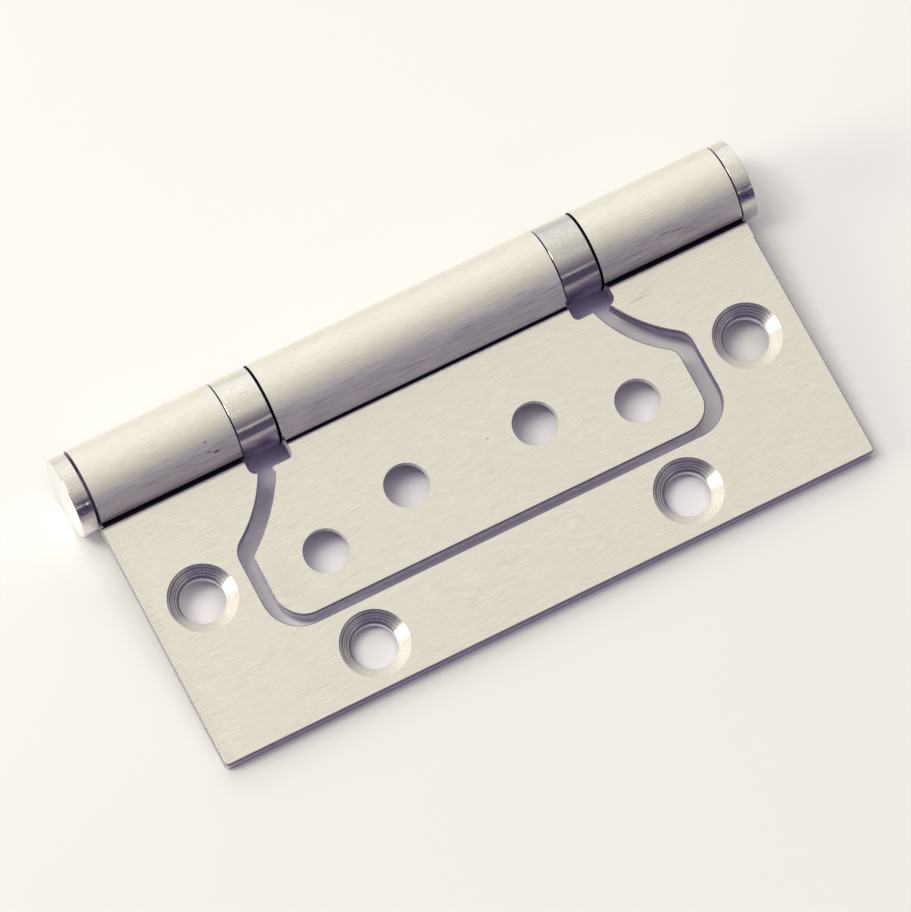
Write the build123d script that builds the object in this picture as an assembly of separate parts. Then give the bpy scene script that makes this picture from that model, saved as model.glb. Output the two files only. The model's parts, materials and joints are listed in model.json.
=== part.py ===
from build123d import *

from math import asin, atan2, cos, degrees, hypot, radians, sin, sqrt, tan
import os

# Sheet and leaves. Distances called reach or depth run from the pin axis towards the free edges.
leaf_length = 101.6
sheet = 2.5
edge_break = 0.15
outer_reach = 44.75
outer_corner = 0.5

# Cut-out of the outer leaf: a waist beside the barrel, a flare down to the shoulders, straight sides
cutout_reach = 31.9
cutout_half_width = 35.75
cutout_corner = 5.5
cutout_waist_x = 27.7
cutout_flare_radius = 21.2
cutout_shoulder_depth = 17.65
cutout_shoulder_round = 3.2

# Inner leaf, nested in the cut-out with a slot around it that is wider on the right
slot_left = 1.95
slot_right = 2.7
slot_end = 1.25
inner_corner = 4.2
inner_left_waist_x = 25.55
inner_left_waist_length = 0.9
inner_left_flare_radius = 29.6
inner_left_shoulder_depth = 19.4
inner_left_shoulder_round = 0.8
inner_right_waist_x = 25.25
inner_right_waist_length = 0.1
inner_right_flare_radius = 17.5
inner_right_shoulder_depth = 19.15
inner_right_shoulder_round = 2.3

# Relief notches in both leaves beside the bearings
notch_depth = 9.1
notch_side_gap = 0.25
notch_outer_corner = 1.2
notch_inner_corner = 0.9

# Screw holes, as half the distance between a pair and the depth of the pair
hole_diameter = 6.6
countersink_diameter = 10.0
countersink_angle = 100.0
outer_end_pair_inset = 0.45
outer_end_pair_depth = 21.8
outer_edge_pair_x = 24.6
inner_end_pair_x = 24.5
inner_end_pair_depth = 23.4
inner_mid_pair_x = 10.1
inner_mid_pair_depth = 19.9

# Rolled knuckles
barrel_diameter = 12.0
centre_knuckle_length = 44.8
left_end_inset = 0.36
right_end_inset = 0.18
end_relief_depth = 6.4
root_bend_radius = 1.6
outer_curl_end_angle = 20.0
centre_curl_end_angle = 36.0
outer_seam = 0.5
centre_seam = 0.32

# Pin and end caps
pin_clearance = 0.05
pin_end_chamfer = 0.5
pin_end_gap = 0.3
cap_diameter = 11.8
cap_thickness = 2.4
cap_edge = 0.3
cap_gap = 0.05
cap_shank_length = 4.5
press_interference = 0.01

# Bearings
bearing_length = 5.65
bearing_end_gap = 0.25
axial_float = 0.08
sleeve_diameter = 11.9
sleeve_wall = 0.7
sleeve_edge = 0.15
race_recess = 0.1
race_clearance = 0.05
race_bore_clearance = 0.1
ball_diameter = 1.2
ball_count = 10
ball_clearance = 0.02
race_gap = 0.9
cage_thickness = 0.8
cage_clearance = 0.05
pocket_clearance = 0.03

# Worked out from the sizes above
barrel_radius = barrel_diameter / 2
bore_radius = barrel_radius - sheet
pin_radius = bore_radius - pin_clearance
pin_y = (outer_reach - barrel_radius) / 2
pin_z = barrel_radius
leaf_top = pin_z + sheet / 2
leaf_bottom = pin_z - sheet / 2
root_depth = (barrel_radius + bore_radius) / 2
half_length = leaf_length / 2
centre_end = centre_knuckle_length / 2
bearing_space = bearing_length + 2 * bearing_end_gap
outer_knuckle_start = centre_end + bearing_space
outer_knuckle_length = half_length - outer_knuckle_start
outer_end_pair_x = (cutout_half_width + half_length) / 2 - outer_end_pair_inset
outer_edge_pair_depth = (cutout_reach + outer_reach) / 2
bearing_x = centre_end + bearing_space / 2
sleeve_radius = sleeve_diameter / 2
sleeve_bore = sleeve_radius - sleeve_wall
race_radius = sleeve_bore - race_clearance
race_bore = pin_radius + race_bore_clearance
race_thickness = (bearing_length - race_gap) / 2 - race_recess
ball_circle = (race_radius + race_bore) / 2


def in_plan(x, depth):
    """Point on the plan of the leaves, at a distance from the pin axis."""
    return (x, pin_y - depth)


def nearest_vertex(face, point):
    return min(face.vertices(), key=lambda vertex: (vertex.center() - Vector(*point)).length)


def rounded(face, point, radius):
    return fillet(nearest_vertex(face, point), radius)


def along_barrel(section, start, length):
    """Extrude a section, drawn about the pin axis, along the barrel."""
    return extrude(Plane.YZ.offset(start) * section, length)


def nested_half(side, half_width, reach, corner, waist, flare_radius, shoulder, top_depth):
    """Half of the nested outline: straight end and side, then the flare up to the waist."""
    shoulder_depth, shoulder_round = shoulder
    end_point = in_plan(side * half_width, reach)
    shoulder_point = in_plan(side * half_width, shoulder_depth)
    waist_x, waist_depth = waist
    waist_point = in_plan(side * waist_x, waist_depth)
    outline = Polyline(in_plan(0, reach), end_point, shoulder_point)
    outline += RadiusArc(shoulder_point, waist_point, side * flare_radius)
    outline += Polyline(waist_point, in_plan(side * waist_x, top_depth), in_plan(0, top_depth))
    outline += Line(in_plan(0, top_depth), in_plan(0, reach))
    face = make_face(outline)
    face = rounded(face, end_point, corner)
    return rounded(face, shoulder_point, shoulder_round)


def knuckle_bays():
    """Plan of the two spaces that the bearings take between the knuckles."""
    middle_depth = barrel_radius / 2
    bay = Rectangle(bearing_space, barrel_radius)
    places = [in_plan(side * bearing_x, middle_depth) for side in (-1, 1)]
    return [Pos(*place) * bay for place in places]


def sheet_of(face):
    """Sheet metal blank with its sheared edges broken on both faces."""
    blank = extrude(Plane.XY.offset(leaf_bottom) * face, sheet)
    rims = blank.edges().group_by(Axis.Z)
    return chamfer(rims[0] + rims[-1], edge_break)


def notches():
    """Reliefs beside the bearings, cut through both leaves in front of the barrel."""
    inner_x = centre_end - notch_side_gap
    outer_x = outer_knuckle_start + notch_side_gap
    tools = []
    for side in (-1, 1):
        middle = in_plan(side * (inner_x + outer_x) / 2, (barrel_radius + notch_depth) / 2)
        face = Pos(*middle) * Rectangle(outer_x - inner_x, notch_depth - barrel_radius)
        face = rounded(face, in_plan(side * outer_x, notch_depth), notch_outer_corner)
        face = rounded(face, in_plan(side * inner_x, notch_depth), notch_inner_corner)
        tools.append(extrude(face, leaf_top + sheet))
    return tools


def end_trims():
    """Slivers cut off the outer ends of the barrel, down to the line where the leaf begins."""
    depth = barrel_radius + end_relief_depth
    middle_y = pin_y + (barrel_radius - end_relief_depth) / 2
    tools = []
    for side, inset in ((-1, left_end_inset), (1, right_end_inset)):
        middle = (side * (half_length - inset / 2), middle_y, pin_z)
        tools.append(Pos(*middle) * Box(inset, depth, barrel_diameter))
    return tools


def screw_holes(half_spacing, depth, head_up):
    """Pair of countersunk holes, with the heads on the upper or the lower face."""
    sink = CounterSinkHole(
        hole_diameter / 2,
        countersink_diameter / 2,
        2 * sheet,
        countersink_angle,
        mode=Mode.PRIVATE,
    )
    head = Pos(0, 0, leaf_top) if head_up else Pos(0, 0, leaf_bottom) * Rot(180, 0, 0)
    places = [in_plan(side * half_spacing, depth) for side in (-1, 1)]
    return [Pos(*place) * head * sink for place in places]


def curl_tip(end_angle):
    """Outer corner of the rolled end, where its straight tip meets the leaf's upper face."""
    drop = (barrel_radius * sin(radians(end_angle)) - sheet / 2) / cos(radians(end_angle))
    reach = barrel_radius * cos(radians(end_angle)) + drop * sin(radians(end_angle))
    return (pin_y - reach, leaf_top)


def knuckle(start, length, end_angle):
    """Full roll with its straight tip and the bend that joins it to the leaf."""
    axis = Pos(pin_y, pin_z)
    tangent_point = (
        pin_y - barrel_radius * cos(radians(end_angle)),
        pin_z + barrel_radius * sin(radians(end_angle)),
    )
    tip = Polygon(tangent_point, curl_tip(end_angle), (pin_y - root_depth, leaf_top), align=None)
    root_middle = (pin_y - (root_depth + notch_depth) / 2, pin_z)
    root = Pos(*root_middle) * Rectangle(notch_depth - root_depth, sheet)
    section = axis * Circle(barrel_radius) + tip + root
    bend_corner = (pin_y - sqrt(barrel_radius**2 - (sheet / 2) ** 2), leaf_bottom)
    section = rounded(section, bend_corner, root_bend_radius)
    return along_barrel(section, start, length)


def knuckle_voids(start, length, end_angle, seam):
    """Bore, and the seam that runs from the leaf's face to a tangent of the bore."""
    tip_y, tip_z = curl_tip(end_angle)
    run = pin_y - tip_y
    fall = tip_z - pin_z
    span = hypot(run, fall)
    seam_slope = atan2(fall, run) + asin((bore_radius - seam) / span)
    seam_length = sqrt(span**2 - (bore_radius - seam) ** 2)
    mouth = seam / tan(seam_slope)
    slot = Pos(-mouth, 0) * Rectangle(seam_length + mouth, seam, align=(Align.MIN, Align.MAX))
    slot = Pos(tip_y, tip_z) * Rot(0, 0, -degrees(seam_slope)) * slot
    return along_barrel(Pos(pin_y, pin_z) * Circle(bore_radius) + slot, start, length)


def outer_leaf():
    middle = in_plan(0, (root_depth + outer_reach) / 2)
    face = Pos(*middle) * RectangleRounded(leaf_length, outer_reach - root_depth, outer_corner)
    for side in (-1, 1):
        face -= nested_half(
            side,
            cutout_half_width,
            cutout_reach,
            cutout_corner,
            waist=(cutout_waist_x, notch_depth),
            flare_radius=cutout_flare_radius,
            shoulder=(cutout_shoulder_depth, cutout_shoulder_round),
            top_depth=0,
        )
    leaf = sheet_of(face - knuckle_bays())
    starts = (-half_length, outer_knuckle_start)
    leaf += [knuckle(start, outer_knuckle_length, outer_curl_end_angle) for start in starts]
    for start in starts:
        leaf -= knuckle_voids(start, outer_knuckle_length, outer_curl_end_angle, outer_seam)
    leaf -= notches() + end_trims()
    leaf -= screw_holes(outer_end_pair_x, outer_end_pair_depth, True)
    leaf -= screw_holes(outer_edge_pair_x, outer_edge_pair_depth, True)
    return leaf


def inner_leaf():
    reach = cutout_reach - slot_end
    left = nested_half(
        -1,
        cutout_half_width - slot_left,
        reach,
        inner_corner,
        waist=(inner_left_waist_x, notch_depth + inner_left_waist_length),
        flare_radius=inner_left_flare_radius,
        shoulder=(inner_left_shoulder_depth, inner_left_shoulder_round),
        top_depth=root_depth,
    )
    right = nested_half(
        1,
        cutout_half_width - slot_right,
        reach,
        inner_corner,
        waist=(inner_right_waist_x, notch_depth + inner_right_waist_length),
        flare_radius=inner_right_flare_radius,
        shoulder=(inner_right_shoulder_depth, inner_right_shoulder_round),
        top_depth=root_depth,
    )
    leaf = sheet_of(left + right - knuckle_bays())
    leaf += knuckle(-centre_end, centre_knuckle_length, centre_curl_end_angle)
    leaf -= knuckle_voids(-centre_end, centre_knuckle_length, centre_curl_end_angle, centre_seam)
    leaf -= notches()
    leaf -= screw_holes(inner_end_pair_x, inner_end_pair_depth, False)
    leaf -= screw_holes(inner_mid_pair_x, inner_mid_pair_depth, False)
    return leaf


def turned(profile_radius, start, length):
    """Round bar on the pin axis."""
    return along_barrel(Pos(pin_y, pin_z) * Circle(profile_radius), start, length)


def washer(outer_radius, inner_radius, start, length):
    """Round tube on the pin axis."""
    ring = Circle(outer_radius) - Circle(inner_radius)
    return along_barrel(Pos(pin_y, pin_z) * ring, start, length)


def end_rims(body):
    """Outermost circular edge at each end of a round piece."""
    faces = body.faces().sort_by(Axis.X)
    return [max(face.edges(), key=lambda edge: edge.radius) for face in (faces[0], faces[-1])]


def hinge_pin():
    pin_half = half_length + cap_gap - cap_shank_length - pin_end_gap
    pin = turned(pin_radius, -pin_half - axial_float, 2 * pin_half)
    return chamfer(end_rims(pin), pin_end_chamfer)


def end_cap(side):
    seat = side * (half_length + cap_gap)
    disc = turned(cap_diameter / 2, seat, side * cap_thickness)
    disc = fillet(end_rims(disc), cap_edge)
    shank = turned(bore_radius + press_interference, seat, -side * cap_shank_length)
    return disc + shank


def bearing_sleeve(centre):
    sleeve = washer(sleeve_radius, sleeve_bore, centre - bearing_length / 2, bearing_length)
    return chamfer(end_rims(sleeve), sleeve_edge)


def race(centre, direction):
    """Washer with a ball groove, on one side of the balls."""
    start = centre + direction * race_gap / 2
    ring = washer(race_radius, race_bore, start, direction * race_thickness)
    groove = Torus(ball_circle, ball_diameter / 2 + ball_clearance)
    return ring - Pos(centre, pin_y, pin_z) * Rot(0, 90, 0) * groove


def ball_places(centre):
    turns = [Rot(360 * index / ball_count, 0, 0) for index in range(ball_count)]
    return [Pos(centre, pin_y, pin_z) * turn * Pos(0, ball_circle, 0) for turn in turns]


def ball_cage(centre):
    radius = race_radius - cage_clearance
    ring = washer(radius, race_bore, centre - cage_thickness / 2, cage_thickness)
    pocket = Rot(0, 90, 0) * Cylinder(ball_diameter / 2 + pocket_clearance, 2 * cage_thickness)
    return ring - [place * pocket for place in ball_places(centre)]


def write(name, shape):
    export_step(shape, f"parts/{name}.step")


def write_bearing(hand, side):
    """All the pieces of one bearing, with the fixed race beside the outer knuckle."""
    centre = side * bearing_x - axial_float
    write(f"{hand}_bearing_sleeve", bearing_sleeve(centre))
    write(f"{hand}_fixed_race", race(centre, side))
    write(f"{hand}_moving_race", race(centre, -side))
    write(f"{hand}_ball_cage", ball_cage(centre))
    for number, place in enumerate(ball_places(centre), start=1):
        write(f"{hand}_ball_{number:02d}", place * Sphere(ball_diameter / 2))


os.makedirs("parts", exist_ok=True)
write("outer_leaf", outer_leaf())
write("inner_leaf", inner_leaf())
write("hinge_pin", hinge_pin())
for hand, side in (("left", -1), ("right", 1)):
    write(f"{hand}_end_cap", end_cap(side))
    write_bearing(hand, side)
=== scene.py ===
import json
from math import asin, atan2, cos, hypot, pi, radians, sin

import bmesh
import bpy
from mathutils import Matrix, Vector

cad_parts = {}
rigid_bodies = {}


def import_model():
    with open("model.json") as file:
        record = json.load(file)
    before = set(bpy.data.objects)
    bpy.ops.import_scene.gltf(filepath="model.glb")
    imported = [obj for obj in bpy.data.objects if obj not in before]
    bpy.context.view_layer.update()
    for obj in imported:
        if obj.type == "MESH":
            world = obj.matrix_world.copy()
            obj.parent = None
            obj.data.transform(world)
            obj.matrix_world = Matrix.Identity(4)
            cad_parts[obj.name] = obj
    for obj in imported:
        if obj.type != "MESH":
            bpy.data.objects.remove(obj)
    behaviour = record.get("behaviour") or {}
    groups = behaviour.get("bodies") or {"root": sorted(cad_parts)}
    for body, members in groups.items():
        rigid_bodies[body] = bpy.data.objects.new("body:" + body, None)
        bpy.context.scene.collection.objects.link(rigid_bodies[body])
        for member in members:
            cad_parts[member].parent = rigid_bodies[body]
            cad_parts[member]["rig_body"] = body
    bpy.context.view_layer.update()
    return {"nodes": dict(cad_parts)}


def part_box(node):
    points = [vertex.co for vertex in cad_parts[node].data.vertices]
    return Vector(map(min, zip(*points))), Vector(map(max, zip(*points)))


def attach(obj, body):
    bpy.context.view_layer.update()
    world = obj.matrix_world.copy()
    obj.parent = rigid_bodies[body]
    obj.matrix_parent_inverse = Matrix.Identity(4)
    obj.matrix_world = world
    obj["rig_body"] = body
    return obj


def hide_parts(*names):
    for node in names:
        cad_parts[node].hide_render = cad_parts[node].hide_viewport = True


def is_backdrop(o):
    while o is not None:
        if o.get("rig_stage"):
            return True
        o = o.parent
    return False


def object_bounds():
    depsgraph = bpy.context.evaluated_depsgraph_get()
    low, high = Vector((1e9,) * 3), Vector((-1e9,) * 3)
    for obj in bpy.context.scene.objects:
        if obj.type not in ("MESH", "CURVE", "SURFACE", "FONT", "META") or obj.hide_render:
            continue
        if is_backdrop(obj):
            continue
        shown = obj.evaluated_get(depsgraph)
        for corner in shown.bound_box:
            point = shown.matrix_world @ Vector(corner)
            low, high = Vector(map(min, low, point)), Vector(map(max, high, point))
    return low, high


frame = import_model()
nodes = frame["nodes"]
scene = bpy.context.scene
mm = 0.001
tiny = 0.001 * mm                            # shorter than any real edge
print("frame loaded:", len(nodes), "nodes")


# places read from the frame

def middle(node):
    low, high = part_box(node)
    return (low + high) / 2


pinAxis = Vector((0, middle("hinge_pin").y, middle("hinge_pin").z))
barrelRadius = pinAxis.z
sheetHalf = 1.25 * mm
boreRadius = barrelRadius - 2 * sheetHalf
leafTop = pinAxis.z + sheetHalf
leafBottom = pinAxis.z - sheetHalf
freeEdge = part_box("outer_leaf")[0].y
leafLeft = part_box("outer_leaf")[0].x
screwHoles = {                               # in mm, one hole of each mirrored pair
    "outer_leaf": [(42.825, -2.425), (24.6, -18.95)],
    "inner_leaf": [(24.5, -4.025), (10.1, -0.525)],
}


# small helpers for nodes

def addNode(tree, kind, **settings):
    node = tree.nodes.new(kind)
    for name, value in settings.items():
        setattr(node, name, value)
    return node


def feed(tree, socket, value):
    if isinstance(value, bpy.types.NodeSocket):
        tree.links.new(value, socket)
    else:
        socket.default_value = value


def maths(tree, operation, first, second=0.0):
    node = addNode(tree, "ShaderNodeMath", operation=operation)
    feed(tree, node.inputs[0], first)
    feed(tree, node.inputs[1], second)
    return node.outputs[0]


def times(tree, first, *others):
    for other in others:
        first = maths(tree, "MULTIPLY", first, other)
    return first


def vectorMaths(tree, operation, first, second=(0, 0, 0), scale=1.0):
    node = addNode(tree, "ShaderNodeVectorMath", operation=operation)
    feed(tree, node.inputs[0], first)
    feed(tree, node.inputs[1], second)
    if operation == "SCALE":
        feed(tree, node.inputs["Scale"], scale)
    return node.outputs["Value" if operation == "LENGTH" else "Vector"]


def splitAxes(tree, vector):
    node = addNode(tree, "ShaderNodeSeparateXYZ")
    feed(tree, node.inputs[0], vector)
    return node.outputs


def joinAxes(tree, x, y, z):
    node = addNode(tree, "ShaderNodeCombineXYZ")
    for socket, item in zip(node.inputs, (x, y, z)):
        feed(tree, socket, item)
    return node.outputs[0]


def remap(tree, value, fromLow, fromHigh, toLow, toHigh, smooth=False):
    node = addNode(tree, "ShaderNodeMapRange", interpolation_type="SMOOTHSTEP" if smooth else "LINEAR")
    for socket, item in zip(node.inputs, (value, fromLow, fromHigh, toLow, toHigh)):
        feed(tree, socket, item)
    return node.outputs["Result"]


def between(tree, value, rise, fall, smooth=False):     # 1 from the end of the rise to the start of the fall
    return times(tree, remap(tree, value, *rise, 0, 1, smooth), remap(tree, value, *fall, 1, 0, smooth))


def awayFrom(tree, value, place):
    return maths(tree, "ABSOLUTE", maths(tree, "SUBTRACT", value, place))


def blendColour(tree, amount, first, second):
    node = addNode(tree, "ShaderNodeMix", data_type="RGBA")
    feed(tree, node.inputs["Factor"], amount)
    feed(tree, node.inputs[6], (*first, 1) if isinstance(first, tuple) else first)
    feed(tree, node.inputs[7], (*second, 1) if isinstance(second, tuple) else second)
    return node.outputs[2]


def noiseOf(tree, vector, detail=2.0, rough=0.5):
    node = addNode(tree, "ShaderNodeTexNoise")
    feed(tree, node.inputs["Vector"], vector)
    node.inputs["Scale"].default_value = 1.0
    node.inputs["Detail"].default_value = detail
    node.inputs["Roughness"].default_value = rough
    return node.outputs[0]


def chanceOf(tree, value):
    node = addNode(tree, "ShaderNodeTexWhiteNoise", noise_dimensions="1D")
    feed(tree, node.inputs["W"], value)
    return node.outputs[0]


def startGroup(name, inputs, outputs):
    group = bpy.data.node_groups.new(name, "ShaderNodeTree")
    for label, kind in inputs:
        group.interface.new_socket(name=label, in_out="INPUT", socket_type=kind)
    for label in outputs:
        group.interface.new_socket(name=label, in_out="OUTPUT", socket_type="NodeSocketFloat")
    entry = group.nodes.new("NodeGroupInput").outputs
    leave = group.nodes.new("NodeGroupOutput").inputs
    return group, entry, leave


def useGroup(tree, group, **values):
    node = addNode(tree, "ShaderNodeGroup", node_tree=group)
    for label, value in values.items():
        feed(tree, node.inputs[label], value)
    return node.outputs


# shared effects as node groups; a "scale" is the number of noise waves in a metre

number, vector3 = "NodeSocketFloat", "NodeSocketVector"
noiseSpan = (0.30, 0.70)                     # nearly all of a noise texture's values

streakKinds = {                              # times the length and width asked for, and the noise's span
    "Grain": {"longer": 1, "wider": 1, "span": noiseSpan},
    "Band": {"longer": 4, "wider": 7, "span": (0.33, 0.67)},
}
grainGroup, gin, gout = startGroup(          # fine streaks along X, and broader soft bands
    "brushGrain", [("Vector", vector3), ("Length", number), ("Width", number)], ["Grain", "Band"])
for label, kind in streakKinds.items():
    wide = times(grainGroup, gin["Width"], kind["wider"])
    size = joinAxes(grainGroup, times(grainGroup, gin["Length"], kind["longer"]), wide, wide)
    stretched = vectorMaths(grainGroup, "DIVIDE", gin["Vector"], size)
    feed(grainGroup, gout[label], remap(grainGroup, noiseOf(grainGroup, stretched, 3, 0.6), *kind["span"], 0, 1))

latheMarks = {"wanderScale": 250, "wander": 0.5, "detail": 3.0}
turnedGroup, gin, gout = startGroup(         # lathe marks that follow one coordinate
    "turnedMarks", [("Along", number), ("Pitch", number), ("Vector", vector3)], ["Marks"])
wander = noiseOf(turnedGroup, vectorMaths(turnedGroup, "MULTIPLY", gin["Vector"], (latheMarks["wanderScale"],) * 3))
place = maths(turnedGroup, "DIVIDE", gin["Along"], gin["Pitch"])
line = addNode(turnedGroup, "ShaderNodeTexNoise", noise_dimensions="1D")
line.inputs["Scale"].default_value = 1.0
line.inputs["Detail"].default_value = latheMarks["detail"]
feed(turnedGroup, line.inputs["W"], maths(turnedGroup, "ADD", place, times(turnedGroup, wander, latheMarks["wander"])))
feed(turnedGroup, gout["Marks"], remap(turnedGroup, line.outputs[0], *noiseSpan, 0, 1))

mottling = {"cloudSpan": (0.35, 0.65), "speckSpan": (0.50, 0.66), "speckFiner": 14}
mottleGroup, gin, gout = startGroup(         # soft clouds and small specks
    "mottle", [("Vector", vector3), ("Size", number)], ["Cloud", "Specks"])
sized = vectorMaths(mottleGroup, "DIVIDE", gin["Vector"], joinAxes(mottleGroup, *(gin["Size"],) * 3))
fine = vectorMaths(mottleGroup, "MULTIPLY", sized, (mottling["speckFiner"],) * 3)
feed(mottleGroup, gout["Cloud"], remap(mottleGroup, noiseOf(mottleGroup, sized, 3), *mottling["cloudSpan"], 0, 1))
feed(mottleGroup, gout["Specks"], remap(mottleGroup, noiseOf(mottleGroup, fine, 2, 0.7), *mottling["speckSpan"], 0, 1))

raggedRim = {"scale": (900, 2500, 2500), "amount": 0.6, "reach": 1.3}
markGroup, gin, gout = startGroup(           # one mark: 1 inside an ellipsoid, ragged at its rim
    "wearMark", [("Vector", vector3), ("Centre", vector3), ("Half", vector3), ("Soft", number)], ["Mask"])
local = vectorMaths(markGroup, "DIVIDE", vectorMaths(markGroup, "SUBTRACT", gin["Vector"], gin["Centre"]), gin["Half"])
ragged = noiseOf(markGroup, vectorMaths(markGroup, "MULTIPLY", gin["Vector"], raggedRim["scale"]))
reach = maths(markGroup, "ADD", vectorMaths(markGroup, "LENGTH", local), times(markGroup, ragged, raggedRim["amount"]))
soft = maths(markGroup, "SUBTRACT", raggedRim["reach"], gin["Soft"])
feed(markGroup, gout["Mask"], remap(markGroup, reach, soft, raggedRim["reach"], 1, 0, True))

hatching = {"swayScale": (500, 900, 900), "sway": 1.6, "stroke": (0.10, 0.30), "ridge": (0.32, 0.46),
            "shortest": 0.5, "softEnd": 0.4, "faintest": 0.2, "seed": 0.37, "fadeAbove": 0.2 * mm}
hatchGroup, gin, gout = startGroup(          # short parallel strokes beside one edge, each its own length
    "edgeHatch", [("Vector", vector3), ("Edge", number), ("Reach", number), ("Spacing", number)], ["Strokes", "Ridges"])
x, y, z = splitAxes(hatchGroup, gin["Vector"])
sway = noiseOf(hatchGroup, vectorMaths(hatchGroup, "MULTIPLY", gin["Vector"], hatching["swayScale"]))
sway = times(hatchGroup, sway, hatching["sway"])
row = maths(hatchGroup, "ADD", maths(hatchGroup, "DIVIDE", y, gin["Spacing"]), sway)
rowNumber = maths(hatchGroup, "FLOOR", row)
length = remap(hatchGroup, chanceOf(hatchGroup, rowNumber), 0, 1, hatching["shortest"], 1)
strength = chanceOf(hatchGroup, maths(hatchGroup, "ADD", rowNumber, hatching["seed"]))
inward = maths(hatchGroup, "DIVIDE", maths(hatchGroup, "SUBTRACT", x, gin["Edge"]), gin["Reach"])
beyond = maths(hatchGroup, "SUBTRACT", inward, length)
drawn = times(hatchGroup, remap(hatchGroup, beyond, -hatching["softEnd"], 0, 1, 0),
              remap(hatchGroup, z, leafTop, leafTop + hatching["fadeAbove"], 1, 0),
              remap(hatchGroup, strength, 0, 1, hatching["faintest"], 1))
fromMiddle = awayFrom(hatchGroup, maths(hatchGroup, "FRACT", row), 0.5)
feed(hatchGroup, gout["Strokes"], times(hatchGroup, remap(hatchGroup, fromMiddle, *hatching["stroke"], 1, 0), drawn))
feed(hatchGroup, gout["Ridges"], times(hatchGroup, remap(hatchGroup, fromMiddle, *hatching["ridge"], 0, 1), drawn))
print("node groups made")


# materials

grooveTurn = 0.25                            # a quarter turn lays the gloss along the grooves
leastPatch = 0.75                            # what is left of a patchy mask where the clouds are thin


def startMaterial(name):
    material = bpy.data.materials.new(name)
    material.use_nodes = True
    tree = material.node_tree
    shader = tree.nodes["Principled BSDF"]
    shader.inputs["Metallic"].default_value = 1.0
    coords = addNode(tree, "ShaderNodeTexCoord").outputs["Object"]
    return material, tree, shader, coords


def addBump(tree, shader, height, strength, distance):
    bump = addNode(tree, "ShaderNodeBump")
    bump.inputs["Strength"].default_value = strength
    bump.inputs["Distance"].default_value = distance
    feed(tree, bump.inputs["Height"], height)
    feed(tree, shader.inputs["Normal"], bump.outputs[0])


def alongGrooves(tree, shader, amount):      # the UV map's first direction runs along the grooves
    tangent = addNode(tree, "ShaderNodeTangent", direction_type="UV_MAP", uv_map="grainMap")
    feed(tree, shader.inputs["Tangent"], tangent.outputs[0])
    shader.inputs["Anisotropic"].default_value = amount
    shader.inputs["Anisotropic Rotation"].default_value = grooveTurn


def markMask(tree, coords, mark):
    return useGroup(tree, markGroup, Vector=coords, Centre=mark["centre"], Half=mark["half"],
                    Soft=mark["soft"])["Mask"]


def patchy(tree, mask, cloud):
    return times(tree, mask, remap(tree, cloud, 0, 1, leastPatch, 1))


def sectorMask(tree, turned, middleTurn, limits, least=0):     # 1 around one turn, least opposite it
    facing = maths(tree, "COSINE", maths(tree, "SUBTRACT", turned, middleTurn))
    return remap(tree, facing, *limits, least, 1, True)


rolledZone = {"before": (pinAxis.y - 1.5 * mm, pinAxis.y - 4 * mm), "above": (leafTop + 0.1 * mm, leafTop + 0.4 * mm)}
seamZone = {
    "below": (leafTop, leafTop + 0.1 * mm), "above": (leafTop - 1.5 * mm, leafTop - 1.2 * mm),
    "before": (pinAxis.y - 5.4 * mm, pinAxis.y - 5.1 * mm), "frayScale": (1500, 3000, 3000), "fray": 0.25 * mm,
}


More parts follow.
